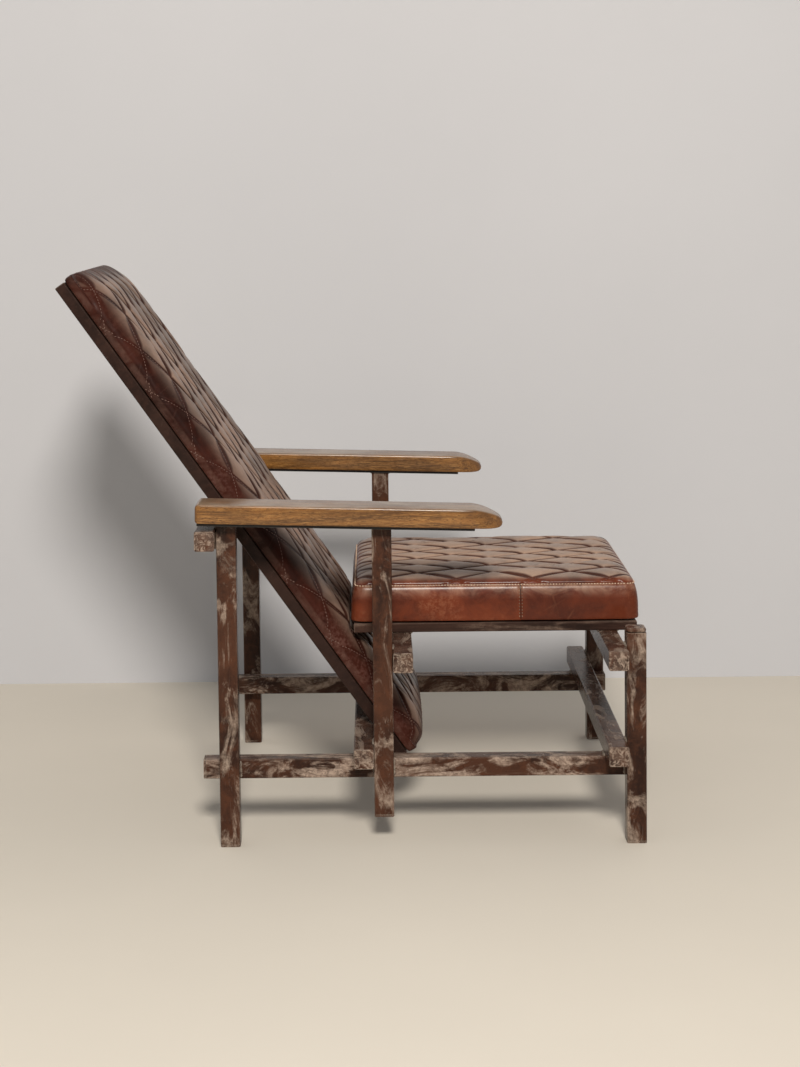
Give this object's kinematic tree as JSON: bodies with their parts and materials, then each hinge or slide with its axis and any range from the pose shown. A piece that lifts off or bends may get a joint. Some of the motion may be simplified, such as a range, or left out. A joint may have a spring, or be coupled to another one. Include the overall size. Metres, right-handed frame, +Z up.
{
  "type": "lounge chair",
  "caption": "Reclined lounge chair: welded square-tube frame, diamond-quilted leather seat and leaning back on flat panels, flat wooden armrests on steel straps.",
  "frame": {"origin": "on the floor, under the middle of the chair's depth and width", "axes": "+X is the front of the chair, +Y the sitter's left, +Z up"},
  "size_m": [0.9048, 0.66, 0.8734],
  "materials": {
    "steel": "dark rust-brown patina with pale worn streaks, satin",
    "panel_steel": "dull brown patina",
    "strap": "black, matt",
    "wood": "honey-brown hardwood with fine grain, satin",
    "board": "dark stained plywood, matt",
    "leather": "red-brown waxed leather, half gloss, diamond quilting"
  },
  "bodies": {
    "root": {"rear_post_right": "steel", "rear_post_right_foot": "steel", "middle_post_right": "steel", "middle_post_right_foot": "steel", "front_post_right": "steel", "front_post_right_foot": "steel", "front_post_right_top": "steel", "side_rail_right": "steel", "side_rail_right_cap_rear": "steel", "side_rail_right_cap_front": "steel", "armrest_right": "wood", "arm_strap_right": "strap", "rear_post_left": "steel", "rear_post_left_foot": "steel", "middle_post_left": "steel", "middle_post_left_foot": "steel", "front_post_left": "steel", "front_post_left_foot": "steel", "front_post_left_top": "steel", "side_rail_left": "steel", "side_rail_left_cap_rear": "steel", "side_rail_left_cap_front": "steel", "armrest_left": "wood", "arm_strap_left": "strap", "top_rear_rail": "steel", "top_rear_rail_cap_right": "steel", "top_rear_rail_cap_left": "steel", "seat_rear_rail": "steel", "seat_rear_rail_cap_right": "steel", "seat_rear_rail_cap_left": "steel", "seat_front_rail": "steel", "seat_front_rail_cap_right": "steel", "seat_front_rail_cap_left": "steel", "lower_rear_rail": "steel", "lower_rear_rail_cap_right": "steel", "lower_rear_rail_cap_left": "steel", "lower_front_rail": "steel", "lower_front_rail_cap_right": "steel", "lower_front_rail_cap_left": "steel", "seat_frame_right": "panel_steel", "seat_frame_left": "panel_steel", "seat_frame_rear": "panel_steel", "seat_frame_front": "panel_steel", "seat_frame_cross_1": "panel_steel", "back_frame_right": "panel_steel", "back_frame_left": "panel_steel", "back_frame_low": "panel_steel", "back_frame_high": "panel_steel", "back_frame_cross_1": "panel_steel", "back_frame_cross_2": "panel_steel", "seat_board": "board", "seat_cushion": "leather", "back_board": "board", "back_cushion": "leather"}
  },
  "joints": []
}
